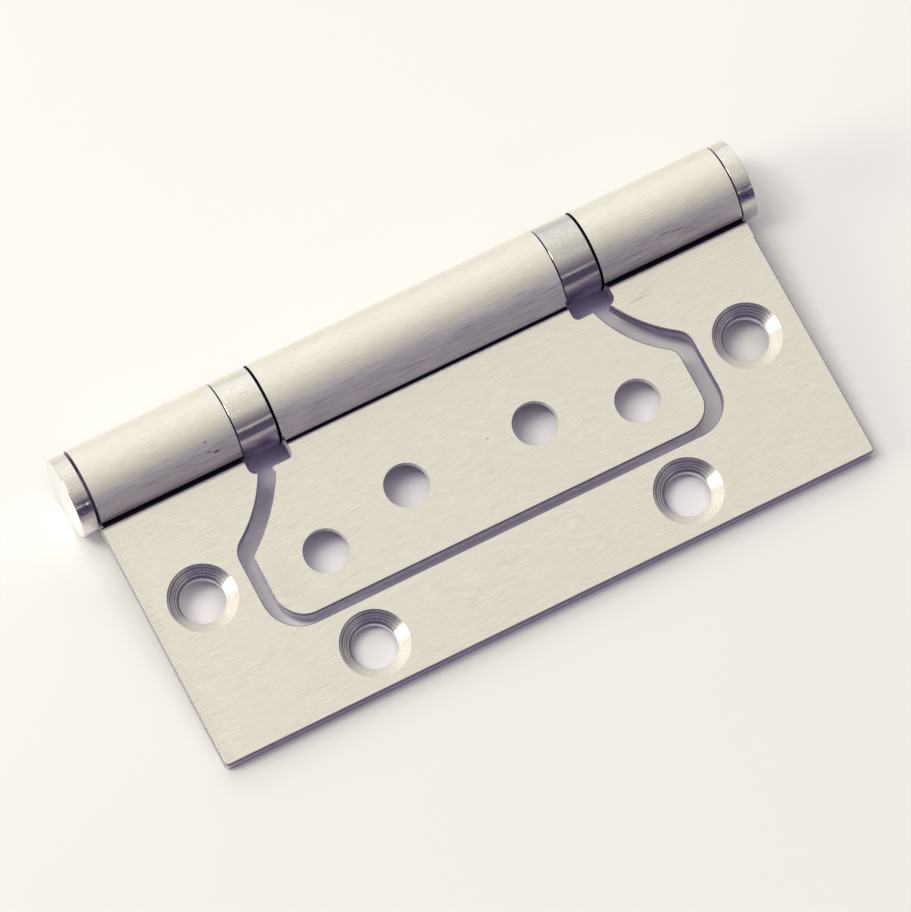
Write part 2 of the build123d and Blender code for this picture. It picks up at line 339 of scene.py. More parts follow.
def brushedSteel(name, look, seam, marks=(), hatch=None, speckled=None):
    material, tree, shader, coords = startMaterial(name)
    x, y, z = splitAxes(tree, coords)
    grain = useGroup(tree, grainGroup, Vector=coords, Length=look["grainLength"], Width=look["grainWidth"])
    clouds = useGroup(tree, mottleGroup, Vector=coords, Size=look["cloudSize"])
    colour = blendColour(tree, grain["Grain"], look["dark"], look["light"])
    colour = blendColour(tree, times(tree, grain["Band"], look["bandAmount"]), colour, look["band"])
    colour = blendColour(tree, times(tree, clouds["Cloud"], look["patchAmount"]), colour, look["patch"])
    rough = remap(tree, grain["Grain"], 0, 1, *look["roughness"])
    rough = maths(tree, "ADD", rough, times(tree, clouds["Cloud"], look["cloudRough"]))

    # longer streaks, and a paler, purplish tone on the front of the knuckles: painted light and reflection, stronger on
    # the centre knuckle
    streaks = useGroup(tree, grainGroup, Vector=coords, Length=look["streakLength"], Width=look["streakWidth"])["Grain"]
    rolled = times(tree, remap(tree, y, *rolledZone["before"], 0, 1, True), remap(tree, z, *rolledZone["above"], 0, 1))
    pale = times(tree, remap(tree, streaks, look["paleBelow"], 0, 0, 1), rolled, look["paleAmount"])
    dark = times(tree, remap(tree, streaks, look["streakAbove"], 1, 0, 1), rolled, look["streakAmount"])
    colour = blendColour(tree, times(tree, rolled, look["lowerAmount"]), colour, look["lower"])
    colour = blendColour(tree, dark, colour, look["streak"])
    colour = blendColour(tree, pale, colour, look["pale"])
    height = maths(tree, "SUBTRACT", grain["Grain"], dark)

    # shade in the seam between the leaf and the knuckle's tip
    frayed = noiseOf(tree, vectorMaths(tree, "MULTIPLY", coords, seamZone["frayScale"]), 3)
    edge = maths(tree, "ADD", y, times(tree, frayed, seamZone["fray"]))
    shade = times(tree, remap(tree, edge, seam["from"], seam["to"], 0, 1),
                  remap(tree, z, *seamZone["below"], seam["amount"], 0), remap(tree, z, *seamZone["above"], 0, 1),
                  remap(tree, y, *seamZone["before"], 1, 0),
                  remap(tree, maths(tree, "ABSOLUTE", x), *seam["along"], 0, 1))
    colour = blendColour(tree, shade, colour, seam["colour"])

    for mark in marks:
        mask = times(tree, markMask(tree, coords, mark), mark["amount"])
        colour = blendColour(tree, mask, colour, mark["colour"])
        height = maths(tree, "SUBTRACT", height, mask)
    if hatch:
        lines = useGroup(tree, hatchGroup, Vector=coords, Edge=hatch["edge"], Reach=hatch["reach"],
                         Spacing=hatch["spacing"])
        mask = times(tree, lines["Strokes"], hatch["amount"])
        colour = blendColour(tree, mask, colour, hatch["colour"])
        colour = blendColour(tree, times(tree, lines["Ridges"], hatch["amount"]), colour, hatch["ridge"])
        height = maths(tree, "SUBTRACT", height, mask)
    if speckled:
        specks = useGroup(tree, mottleGroup, Vector=coords, Size=speckled["size"])["Specks"]
        mask = times(tree, markMask(tree, coords, speckled), specks, speckled["amount"])
        colour = blendColour(tree, mask, colour, speckled["colour"])
        height = maths(tree, "SUBTRACT", height, mask)
    feed(tree, shader.inputs["Base Color"], colour)
    feed(tree, shader.inputs["Roughness"], rough)
    alongGrooves(tree, shader, look["anisotropic"])
    addBump(tree, shader, height, look["bump"], look["bumpDepth"])
    return material


sinkUnits = 5.0                              # UV units for one radian around a countersink
frontFade = 0.5 * mm                         # the lows start in front of the pin's axis, over this much


def turnedSteel(name, look, along):
    material, tree, shader, coords = startMaterial(name)
    if along == "x":
        follow = splitAxes(tree, coords)[0]
    elif along == "radius":                                   # distance from the pin's axis
        flat = vectorMaths(tree, "MULTIPLY", vectorMaths(tree, "SUBTRACT", coords, tuple(pinAxis)), (0, 1, 1))
        follow = vectorMaths(tree, "LENGTH", flat)
    else:                                                     # the piece's own attribute
        follow = addNode(tree, "ShaderNodeAttribute", attribute_name=along).outputs["Fac"]
    marks = useGroup(tree, turnedGroup, Along=follow, Pitch=look["pitch"], Vector=coords)["Marks"]
    clouds = useGroup(tree, mottleGroup, Vector=coords, Size=look["cloudSize"])
    scratches = useGroup(tree, grainGroup, Vector=coords, Length=look["scratchLength"],
                         Width=look["scratchWidth"])["Grain"]
    scratches = remap(tree, scratches, look["scratchFrom"], 1, 0, 1)
    colour = blendColour(tree, marks, look["dark"], look["light"])
    colour = blendColour(tree, times(tree, clouds["Specks"], look["stainAmount"]), colour, look["stain"])
    colour = blendColour(tree, times(tree, scratches, look["scratchAmount"]), colour, look["stain"])
    # dark rims: painted shade along the sink's inner edge
    for radius, width in look.get("rims", ()):
        rim = remap(tree, awayFrom(tree, follow, radius), 0, width, look["rimShadeAmount"], 0)
        colour = blendColour(tree, rim, colour, look["rimShadeColour"])
    for mark in look.get("marks", ()):
        colour = blendColour(tree, times(tree, markMask(tree, coords, mark), mark["amount"]), colour, mark["colour"])
    rough = remap(tree, marks, 0, 1, *look["roughness"])
    rough = maths(tree, "ADD", rough, times(tree, clouds["Cloud"], look["cloudRough"]))
    swell = noiseOf(tree, vectorMaths(tree, "SCALE", coords, scale=1 / look["rippleSize"]))
    height = maths(tree, "ADD", marks, times(tree, swell, look["ripple"]))
    if "sinkShade" in look:                                       # painted shade and painted light by sectors, by the turn kept in the UV map
        around = splitAxes(tree, addNode(tree, "ShaderNodeUVMap", uv_map="grainMap").outputs[0])[0]
        turned = maths(tree, "DIVIDE", around, sinkUnits)
        ringSide = sectorMask(tree, turned, look["ringTurn"], look["ringSector"], look["ringLeast"])
        # the turned steps as dark rings, darker on one side: partly painted shade
        for radius, width, dark in look["rings"]:
            off = awayFrom(tree, follow, radius)
            ring = times(tree, remap(tree, off, look["ringCore"] * width, width, 1, 0), ringSide, dark)
            colour = blendColour(tree, ring, colour, look["rimShadeColour"])
        # one side paler and less metallic: painted light
        litSide = sectorMask(tree, turned, look["litSideTurn"], look["litSideSector"])
        feed(tree, shader.inputs["Metallic"], remap(tree, litSide, 0, 1, 1, look["litSideMetal"]))
        colour = blendColour(tree, litSide, colour, blendColour(tree, marks, look["litSideDark"], look["litSideLight"]))
        # a purple painted shade on one side, broken up by noise
        sinkShadeSide = sectorMask(tree, turned, look["sinkShadeTurn"], look["sinkShadeSector"])
        sinkShadeMask = noiseOf(tree, vectorMaths(tree, "SCALE", coords, scale=1 / look["sinkShadeNoiseSize"]), 3, 0.7)
        sinkShadeMask = times(tree, remap(tree, sinkShadeMask, *look["sinkShadeNoiseSpan"], look["sinkShadeLeast"], 1), sinkShadeSide, look["sinkShade"])
        colour = blendColour(tree, sinkShadeMask, colour, look["sinkShadeColour"])
    for low in look.get("lows", ()):                          # dull, with painted tones towards the leaf: painted shade, painted reflections, and painted light on the left cap
        _, y, z = splitAxes(tree, coords)
        mask = times(tree, remap(tree, z, low["from"], low["to"], 0, 1, True),
                     remap(tree, y, pinAxis.y, pinAxis.y - frontFade, 0, 1))
        if "until" in low:
            mask = times(tree, mask, remap(tree, z, *low["until"], 0, 1, True))
        blotched = times(tree, patchy(tree, mask, clouds["Cloud"]), low["amount"])
        colour = blendColour(tree, blotched, colour, low["colour"])
        rough = maths(tree, "ADD", rough, times(tree, mask, low["rougher"]))
    feed(tree, shader.inputs["Base Color"], colour)
    feed(tree, shader.inputs["Roughness"], rough)
    if "anisotropic" in look:
        alongGrooves(tree, shader, look["anisotropic"])
    addBump(tree, shader, height, look["bump"], look["bumpDepth"])
    return material


def shearedSteel(name, look):
    material, tree, shader, coords = startMaterial(name)
    tall = vectorMaths(tree, "MULTIPLY", coords, (1 / look["lineWidth"], 1 / look["lineWidth"], 1 / look["lineHeight"]))
    lines = remap(tree, noiseOf(tree, tall, 3, 0.6), *noiseSpan, 0, 1)
    clouds = useGroup(tree, mottleGroup, Vector=coords, Size=look["cloudSize"])
    z = splitAxes(tree, coords)[2]
    torn = remap(tree, z, leafTop - look["tornFull"], leafTop - look["tornFrom"], 1, 0, True)
    torn = patchy(tree, torn, clouds["Cloud"])
    colour = blendColour(tree, lines, look["dark"], look["light"])
    colour = blendColour(tree, torn, colour, look["torn"])
    feed(tree, shader.inputs["Base Color"], colour)
    feed(tree, shader.inputs["Roughness"], remap(tree, torn, 0, 1, *look["roughness"]))
    feed(tree, shader.inputs["Metallic"], remap(tree, torn, 0, 1, 1, look["tornMetal"]))
    addBump(tree, shader, lines, look["bump"], look["bumpDepth"])
    return material


# brushed faces of the leaves
sheetLook = {
    "light": (0.800, 0.771, 0.660), "dark": (0.580, 0.555, 0.471), "band": (0.710, 0.688, 0.600),
    "bandAmount": 0.35, "patch": (0.735, 0.690, 0.620), "patchAmount": 0.45,
    "roughness": (0.33, 0.42), "cloudRough": 0.04, "cloudSize": 6 * mm,
    "grainLength": 2.3 * mm, "grainWidth": 0.13 * mm, "bump": 0.35, "bumpDepth": 0.012 * mm,
    "anisotropic": 0.7, "streakLength": 4.5 * mm, "streakWidth": 0.050 * mm,
    "streak": (0.16, 0.145, 0.14), "streakAbove": 0.55, "streakAmount": 0.9,
    "pale": (0.95, 0.92, 0.86), "paleBelow": 0.45, "paleAmount": 0.6,
    "lower": (0.77, 0.725, 0.71), "lowerAmount": 0.6,
}
innerLook = dict(sheetLook, lower=(0.86, 0.81, 0.80), lowerAmount=0.75)
outerMarks = [
    {"centre": (31.8 * mm, 9.3 * mm, leafTop), "half": (2.6 * mm, 0.35 * mm, 2 * mm), "soft": 0.9,
     "amount": 0.5, "colour": (0.40, 0.38, 0.33)},                                       # smudge
    {"centre": (33.2 * mm, 9.9 * mm, leafTop), "half": (1.6 * mm, 0.25 * mm, 2 * mm), "soft": 0.9,
     "amount": 0.4, "colour": (0.40, 0.38, 0.33)},
    {"centre": (38.9 * mm, 15.43 * mm, 10.50 * mm), "half": (1.4 * mm, 0.11 * mm, 0.3 * mm), "soft": 0.6,
     "amount": 0.6, "colour": (0.16, 0.15, 0.16)},                                       # long scratch
    {"centre": (40.7 * mm, 15.14 * mm, 10.25 * mm), "half": (1.4 * mm, 0.10 * mm, 0.3 * mm), "soft": 0.6,
     "amount": 0.7, "colour": (0.16, 0.15, 0.16)},
    {"centre": (42.4 * mm, 14.82 * mm, 9.90 * mm), "half": (1.2 * mm, 0.09 * mm, 0.3 * mm), "soft": 0.6,
     "amount": 0.5, "colour": (0.16, 0.15, 0.16)},
    # dents: pressed in by the bump, their near-black colour painted shade
    {"centre": (-31.9 * mm, 14.95 * mm, 10.05 * mm), "half": (0.75 * mm, 0.17 * mm, 0.3 * mm), "soft": 0.5,
     "amount": 0.9, "colour": (0.08, 0.07, 0.10)},                                       # dents
    {"centre": (-32.9 * mm, 15.24 * mm, 10.35 * mm), "half": (0.6 * mm, 0.12 * mm, 0.3 * mm), "soft": 0.5,
     "amount": 0.6, "colour": (0.10, 0.09, 0.12)},
    {"centre": (-32.9 * mm, 16.51 * mm, 11.27 * mm), "half": (0.32 * mm, 0.16 * mm, 0.3 * mm), "soft": 0.5,
     "amount": 0.7, "colour": (0.12, 0.11, 0.12)},
    {"centre": (-35.9 * mm, 15.17 * mm, 10.28 * mm), "half": (0.6 * mm, 0.12 * mm, 0.3 * mm), "soft": 0.7,
     "amount": 0.35, "colour": (0.16, 0.15, 0.17)},
]
innerMarks = [
    # a painted highlight along the inner leaf's right corner edge
    {"centre": (33.0 * mm, -5.2 * mm, leafTop), "half": (0.12 * mm, 2.6 * mm, 1 * mm), "soft": 0.5,
     "amount": 0.9, "colour": (0.99, 0.97, 0.92)},                                       # bright corner
    # a small dent: pressed in by the bump, its dark colour painted shade
    {"centre": (3.05 * mm, 0.5 * mm, leafTop), "half": (0.3 * mm, 0.2 * mm, 1 * mm), "soft": 0.6,
     "amount": 0.6, "colour": (0.35, 0.32, 0.30)},                                       # small dent
]
hatchedEdge = {"edge": leafLeft, "reach": 2.1 * mm, "spacing": 0.29 * mm, "amount": 0.55, "colour": (0.36, 0.36, 0.28),
               "ridge": (0.93, 0.91, 0.83)}
speckledCorner = {"centre": (-31.5 * mm, -5.5 * mm, leafTop), "half": (3.6 * mm, 6.5 * mm, 4 * mm), "soft": 1.0,
                  "size": 2.6 * mm, "amount": 0.5, "colour": (0.42, 0.40, 0.36)}
outerSeam = {"from": pinAxis.y - 7.05 * mm, "to": pinAxis.y - 6.6 * mm, "along": (28.0 * mm, 28.3 * mm),
             "amount": 0.85, "colour": (0.07, 0.05, 0.09)}
centreSeam = {"from": pinAxis.y - 7.25 * mm, "to": pinAxis.y - 6.95 * mm, "along": (22.6 * mm, 22.3 * mm),
              "amount": 0.7, "colour": (0.06, 0.05, 0.14)}
outerBrushed = brushedSteel("outerBrushed", sheetLook, outerSeam, outerMarks, hatch=hatchedEdge)
innerBrushed = brushedSteel("innerBrushed", innerLook, centreSeam, innerMarks, speckled=speckledCorner)

# sheared and drilled edges of the leaves, torn below the sheared band; the dark top band and the pale lavender torn
# zone are partly that real finish, partly painted shade and painted light
edgeLook = {
    "light": (0.42, 0.38, 0.41), "dark": (0.26, 0.23, 0.26), "torn": (0.80, 0.77, 0.80),
    "tornFrom": 0.5 * mm, "tornFull": 1.0 * mm, "roughness": (0.50, 0.45), "lineWidth": 0.12 * mm,
    "lineHeight": 2.2 * mm, "cloudSize": 1.2 * mm, "bump": 0.4, "bumpDepth": 0.02 * mm, "tornMetal": 1.0,
}
# the inner leaf's torn zone paler and nearly non-metallic: painted light in the slots
innerEdgeLook = dict(edgeLook, torn=(0.94, 0.91, 0.95), tornFrom=0.22 * mm, tornFull=0.6 * mm, tornMetal=0.15)
# the leaf's outer ends darker and rougher: painted shade that damps their glint
sideLook = dict(edgeLook, light=(0.44, 0.42, 0.38), dark=(0.30, 0.28, 0.26), torn=(0.46, 0.44, 0.40),
                roughness=(0.55, 0.7), tornMetal=0.9)
# the holes' walls paler and nearly non-metallic: painted light
drilledLook = dict(edgeLook, light=(0.60, 0.57, 0.60), dark=(0.42, 0.40, 0.43), torn=(0.80, 0.77, 0.80),
                   tornFrom=0.1 * mm, tornFull=0.4 * mm, tornMetal=0.1)
# near-black inside the bore, the seams and the knuckle ends: painted shade
paintedShadeLook = dict(edgeLook, light=(0.035, 0.03, 0.04), dark=(0.02, 0.018, 0.025), torn=(0.02, 0.018, 0.02),
                  roughness=(0.6, 0.7), tornMetal=0.9)
shearedEdge = shearedSteel("shearedEdge", edgeLook)
innerEdge = shearedSteel("innerEdge", innerEdgeLook)
shearedSide = shearedSteel("shearedSide", sideLook)
drilledWall = shearedSteel("drilledWall", drilledLook)
paintedShadeInside = shearedSteel("paintedShadeInside", paintedShadeLook)

# turned and polished steel, as the sleeves, caps and countersinks have it
polishLook = {
    "light": (0.730, 0.704, 0.620), "dark": (0.655, 0.630, 0.552), "stain": (0.36, 0.33, 0.31),
    "stainAmount": 0.42, "scratchLength": 0.9 * mm, "scratchWidth": 0.09 * mm, "scratchFrom": 0.5,
    "scratchAmount": 0.40, "roughness": (0.08, 0.13), "cloudRough": 0.03, "cloudSize": 2.5 * mm,
    "pitch": 0.12 * mm, "bump": 1.0, "bumpDepth": 0.0006 * mm, "ripple": 1.6, "rippleSize": 0.9 * mm,
}
# countersinks: turned rings, with painted shade on one side and painted light on another
sinkLook = dict(
    polishLook, pitch=0.42 * mm, bump=0.9, bumpDepth=0.05 * mm, roughness=(0.30, 0.24), anisotropic=0.9, ripple=0.3,
    light=(0.90, 0.875, 0.79), dark=(0.52, 0.50, 0.47),
    rims=[(3.30 * mm, 0.20 * mm)], rimShadeAmount=0.8, rimShadeColour=(0.08, 0.07, 0.09),          # radius, width
    rings=[(3.52 * mm, 0.16 * mm, 0.8), (3.92 * mm, 0.12 * mm, 0.75), (4.22 * mm, 0.09 * mm, 0.55),
           (4.55 * mm, 0.14 * mm, 0.7), (4.97 * mm, 0.11 * mm, 0.9)],                    # radius, width, darkness
    ringTurn=radians(112), ringSector=(-0.1, 0.5), ringLeast=0.1, ringCore=0.3,
    litSideTurn=radians(-80), litSideSector=(-0.15, 0.55), litSideMetal=0.35, litSideLight=(0.72, 0.68, 0.58),
    litSideDark=(0.60, 0.57, 0.49), sinkShade=0.7, sinkShadeTurn=radians(62), sinkShadeSector=(0.70, 0.97),
    sinkShadeColour=(0.15, 0.12, 0.21), sinkShadeNoiseSize=0.16 * mm, sinkShadeNoiseSpan=(0.38, 0.62), sinkShadeLeast=0.25)
turnedSink = turnedSteel("turnedSink", sinkLook, "sinkRadius")

# painted tones on the sleeves towards the leaf: a dark stripe as painted reflection, and a purple painted shade below
# it
bandReflectionStripe = {"from": 11.80 * mm, "to": 11.45 * mm, "until": (11.02 * mm, 11.12 * mm),
              "colour": (0.42, 0.39, 0.39), "amount": 0.75, "rougher": 0.03}
dullReflectionStripe = dict(bandReflectionStripe, until=(10.86 * mm, 10.98 * mm))
bandShadeLow = {"from": 9.45 * mm, "to": 8.85 * mm, "colour": (0.40, 0.34, 0.46), "amount": 0.9, "rougher": 0.22}
dullBandLook = dict(polishLook, light=(0.605, 0.583, 0.520), dark=(0.515, 0.497, 0.446), stainAmount=0.75,
                    scratchAmount=0.4, cloudRough=0.05, lows=[dullReflectionStripe, bandShadeLow])
polishedBand = turnedSteel("polishedBand", dict(polishLook, lows=[bandReflectionStripe, bandShadeLow]), "x")
dullBand = turnedSteel("dullBand", dullBandLook, "x")

# the left cap's lower front painted light, the right cap's painted shade
leftCapLightLow = {"from": 9.5 * mm, "to": 9.0 * mm, "colour": (0.96, 0.91, 0.90), "amount": 0.95, "rougher": 0.12}
rightCapShadeLow = {"from": 8.8 * mm, "to": 8.0 * mm, "colour": (0.44, 0.42, 0.43), "amount": 0.9, "rougher": 0.12}
# dark patches and two small white spots on the polished side: painted shade and reflection, and painted glints
leftCapShadeAndGlints = [
    {"centre": (-52.0 * mm, 17.2 * mm, 11.6 * mm), "half": (1.3 * mm, 0.8 * mm, 0.5 * mm), "soft": 1.1,
     "amount": 0.35, "colour": (0.30, 0.22, 0.32)},
    {"centre": (-51.6 * mm, 16.2 * mm, 11.1 * mm), "half": (1.5 * mm, 0.9 * mm, 0.7 * mm), "soft": 0.9,
     "amount": 0.72, "colour": (0.14, 0.12, 0.14)},
    {"centre": (-51.9 * mm, 15.4 * mm, 10.45 * mm), "half": (1.3 * mm, 0.6 * mm, 0.5 * mm), "soft": 0.8,
     "amount": 0.45, "colour": (0.12, 0.10, 0.13)},
    {"centre": (-51.4 * mm, 15.9 * mm, 10.9 * mm), "half": (0.35 * mm, 0.3 * mm, 0.3 * mm), "soft": 0.6,
     "amount": 0.9, "colour": (0.98, 0.96, 0.95)},
    {"centre": (-52.3 * mm, 15.2 * mm, 10.2 * mm), "half": (0.4 * mm, 0.2 * mm, 0.3 * mm), "soft": 0.6,
     "amount": 0.9, "colour": (0.98, 0.96, 0.95)},
]
# dark, navy and bright blue patches on the polished side: painted reflections
rightCapReflections = [
    {"centre": (52.0 * mm, 16.0 * mm, 10.85 * mm), "half": (1.4 * mm, 0.7 * mm, 0.6 * mm), "soft": 1.1,
     "amount": 0.8, "colour": (0.12, 0.11, 0.13)},
    {"centre": (51.8 * mm, 15.35 * mm, 10.3 * mm), "half": (1.0 * mm, 0.28 * mm, 0.4 * mm), "soft": 0.8,
     "amount": 0.8, "colour": (0.05, 0.13, 0.36)},
    {"centre": (52.4 * mm, 15.0 * mm, 9.95 * mm), "half": (0.6 * mm, 0.25 * mm, 0.3 * mm), "soft": 0.8,
     "amount": 0.8, "colour": (0.22, 0.50, 0.90)},
]
leftCapLook = dict(polishLook, light=(0.72, 0.69, 0.60), stainAmount=0.7, cloudSize=1.6 * mm, ripple=36.0,
                   rippleSize=0.5 * mm, marks=leftCapShadeAndGlints, lows=[leftCapLightLow])
rightCapLook = dict(polishLook, light=(0.70, 0.67, 0.585), stainAmount=0.8, cloudSize=1.6 * mm, ripple=22.0,
                    rippleSize=0.5 * mm, marks=rightCapReflections, lows=[rightCapShadeLow])
# the faced ends nearly white, paler than the steel: painted light
faceLook = dict(polishLook, light=(0.97, 0.95, 0.92), dark=(0.92, 0.90, 0.87), pitch=0.2 * mm, stainAmount=0.2,
                scratchAmount=0.1, roughness=(0.16, 0.24))
polishedCap = turnedSteel("polishedCap", leftCapLook, "x")
dullCap = turnedSteel("dullCap", rightCapLook, "x")
facedEnd = turnedSteel("facedEnd", faceLook, "radius")

# parts inside the barrel
pinLook = dict(polishLook, light=(0.55, 0.55, 0.55), dark=(0.48, 0.48, 0.48))
bearingLook = dict(polishLook, light=(0.60, 0.60, 0.61), dark=(0.5, 0.5, 0.52))
cageLook = dict(polishLook, light=(0.78, 0.60, 0.30), dark=(0.6, 0.45, 0.2), roughness=(0.25, 0.35))
groundPin = turnedSteel("groundPin", pinLook, "x")
bearingSteel = turnedSteel("bearingSteel", bearingLook, "radius")
cageBrass = turnedSteel("cageBrass", cageLook, "radius")
print("materials made")


# pieces

def aroundPin(point):
    return hypot(point.y - pinAxis.y, point.z - pinAxis.z)


def finishPiece(bm, name, materials, node, sharpAngle=30):
    for face in bm.faces:
        face.smooth = True
    for edge in bm.edges:
        edge.smooth = len(edge.link_faces) == 2 and edge.calc_face_angle() < radians(sharpAngle)
    mesh = bpy.data.meshes.new(name)
    bm.to_mesh(mesh)
    bm.free()
    for material in materials:
        mesh.materials.append(material)
    piece = bpy.data.objects.new(name, mesh)
    scene.collection.objects.link(piece)
    weighted = piece.modifiers.new("evenNormals", "WEIGHTED_NORMAL")
    weighted.keep_sharp = True
    weighted.weight = 50
    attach(piece, nodes[node]["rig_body"])
    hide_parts(node)
    return piece


leafFaces = {                                # how far each kind of face reaches, to tell them apart
    "fit": 0.02 * mm, "sink": 5.1 * mm, "drilled": 3.4 * mm, "seamWall": barrelRadius + 1.2 * mm,
    "knuckleEnd": barrelRadius + 0.1 * mm, "knuckleEndFrom": pinAxis.y - 6 * mm, "knuckleEndWithin": 45 * mm,
    "rolledFrom": pinAxis.y - 9.2 * mm, "sideFrom": -leafLeft - 0.2 * mm, "slant": 0.3,
}


def dressLeaf(node, name, brushed, edge):
    finishes = {"brushed": brushed, "edge": edge, "sink": turnedSink, "inside": paintedShadeInside, "side": shearedSide,
                "drilled": drilledWall}
    order = list(finishes)
    bm = bmesh.new()
    bm.from_mesh(nodes[node].data)
    bmesh.ops.remove_doubles(bm, verts=bm.verts, dist=2 * tiny)
    bmesh.ops.dissolve_degenerate(bm, edges=bm.edges, dist=tiny)
    radiusLayer = bm.verts.layers.float.new("sinkRadius")
    grainMap = bm.loops.layers.uv.new("grainMap")
    axes = [Vector((side * x * mm, y * mm, 0)) for x, y in screwHoles[node] for side in (-1, 1)]

    def fromHole(point):
        return min(hypot(point.x - a.x, point.y - a.y) for a in axes)

    for vert in bm.verts:
        vert[radiusLayer] = fromHole(vert.co)
    for face in bm.faces:
        normal = face.normal
        centre = face.calc_center_median()
        nearPin = aroundPin(centre)
        radii = [aroundPin(v.co) for v in face.verts]
        holeReach = max(fromHole(v.co) for v in face.verts)
        alongX, upright = abs(normal.x), abs(normal.z)
        onBarrel = max(abs(r - barrelRadius) for r in radii) < leafFaces["fit"]
        inBore = max(abs(r - boreRadius) for r in radii) < leafFaces["fit"]
        inSink = holeReach < leafFaces["sink"] and 0.5 < upright < 0.95
        level = upright > 0.98 and alongX < 0.1
        seamWall = (alongX < 0.05 and 0.5 < upright < 0.9 and leafBottom < centre.z < leafTop
                    and not onBarrel and not inBore and nearPin < leafFaces["seamWall"])
        knuckleEnd = (alongX > 0.95 and nearPin < leafFaces["knuckleEnd"] and centre.y > leafFaces["knuckleEndFrom"]
                      and abs(centre.x) < leafFaces["knuckleEndWithin"])
        drilled = upright < 0.1 and holeReach < leafFaces["drilled"]
        rolled = alongX < 0.05 and centre.y > leafFaces["rolledFrom"]
        outerSide = alongX > 0.9 and abs(centre.x) > leafFaces["sideFrom"]
        # bore, seam walls and knuckle ends take the near-black finish, painted shade
        finish = ("inside" if inBore or seamWall or knuckleEnd else "sink" if inSink else "side" if outerSide
                  else "drilled" if drilled else "brushed" if level or onBarrel or rolled else "edge")
        face.material_index = order.index(finish)
        for loop in face.loops:
            corner = loop.vert.co
            if onBarrel:
                turn = atan2(corner.y - pinAxis.y, corner.z - pinAxis.z)
                loop[grainMap].uv = (corner.x / mm, turn * barrelRadius / mm)
            elif inSink:
                hole = min(axes, key=lambda a: hypot(centre.x - a.x, centre.y - a.y))
                start = atan2(centre.y - hole.y, centre.x - hole.x)
                turn = atan2(corner.y - hole.y, corner.x - hole.x) - start
                turn = start + (turn + pi) % (2 * pi) - pi
                loop[grainMap].uv = (turn * sinkUnits, loop.vert[radiusLayer] / mm)
            else:
                loop[grainMap].uv = (corner.x / mm, (corner.y + leafFaces["slant"] * corner.z) / mm)
    piece = finishPiece(bm, name, finishes.values(), node)


turning = {"steps": 128, "rimSegments": 4, "rimFit": 0.01 * mm, "sharpAngle": 50}


def spinProfile(corners):
    bm = bmesh.new()
    verts = [bm.verts.new((x, pinAxis.y, pinAxis.z + r)) for x, r in corners]
    edges = [bm.edges.new(pair) for pair in zip(verts, verts[1:])]
    bmesh.ops.spin(bm, geom=verts + edges, cent=pinAxis, axis=(1, 0, 0), angle=2 * pi, steps=turning["steps"],
                   use_merge=True)
    bmesh.ops.remove_doubles(bm, verts=bm.verts, dist=tiny)
    bmesh.ops.recalc_face_normals(bm, faces=bm.faces)
    return bm


def roundRims(bm, radius, xs, width):
    def onRim(vert):
        return (abs(aroundPin(vert.co) - radius) < turning["rimFit"]
                and min(abs(vert.co.x - x) for x in xs) < turning["rimFit"])

    rims = [e for e in bm.edges if all(onRim(v) for v in e.verts)]
    bmesh.ops.bevel(bm, geom=rims, offset=width, offset_type="OFFSET", affect="EDGES",
                    segments=turning["rimSegments"], profile=0.5, material=-1)


bandShape = {"wall": 0.7 * mm, "rim": 0.16 * mm}
capShape = {"shank": 3.51 * mm, "shankLength": 4.5 * mm, "endRim": 0.13 * mm, "seatRim": 0.10 * mm}

dressLeaf("outer_leaf", "outerPlate", outerBrushed, shearedEdge)
dressLeaf("inner_leaf", "innerPlate", innerBrushed, innerEdge)
print("leaves dressed")

for hand, bandSteel, capSteel in (("left", polishedBand, polishedCap), ("right", dullBand, dullCap)):
    low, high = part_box(f"{hand}_bearing_sleeve")
    outer = (high.z - low.z) / 2
    inner = outer - bandShape["wall"]
    bm = spinProfile([(low.x, outer), (high.x, outer), (high.x, inner), (low.x, inner), (low.x, outer)])
    roundRims(bm, outer, (low.x, high.x), bandShape["rim"])
    band = finishPiece(bm, f"{hand}Band", [bandSteel], f"{hand}_bearing_sleeve", turning["sharpAngle"])

    low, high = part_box(f"{hand}_end_cap")
    outer = (high.z - low.z) / 2
    end, inside = (low.x, high.x) if hand == "left" else (high.x, low.x)
    seat = inside + (end - inside) * capShape["shankLength"] / abs(end - inside)
    bm = spinProfile([(inside, 0), (inside, capShape["shank"]), (seat, capShape["shank"]), (seat, outer),
                      (end, outer), (end, 0)])
    roundRims(bm, outer, (end,), capShape["endRim"])
    roundRims(bm, outer, (seat,), capShape["seatRim"])
    for face in bm.faces:
        face.material_index = 1 if abs(face.normal.x) > 0.9 else 0
    cap = finishPiece(bm, f"{hand}Cap", [capSteel, facedEnd], f"{hand}_end_cap", turning["sharpAngle"])
print("bands and caps turned")

hiddenFinish = {"hinge_pin": groundPin, "race": bearingSteel, "ball_cage": cageBrass, "ball_": bearingSteel}
for name, node in nodes.items():
    for part, material in hiddenFinish.items():
        if part in name and not node.hide_render:
            node.data.materials.clear()
            node.data.materials.append(material)
            break
print("bearing parts finished")


# floor, light and camera

def restingTilt():                           # the hinge lies on its barrel and the leaf's free edge
    run, rise = pinAxis.y - freeEdge, pinAxis.z - leafBottom
    return atan2(rise, run) - asin(barrelRadius / hypot(run, rise))


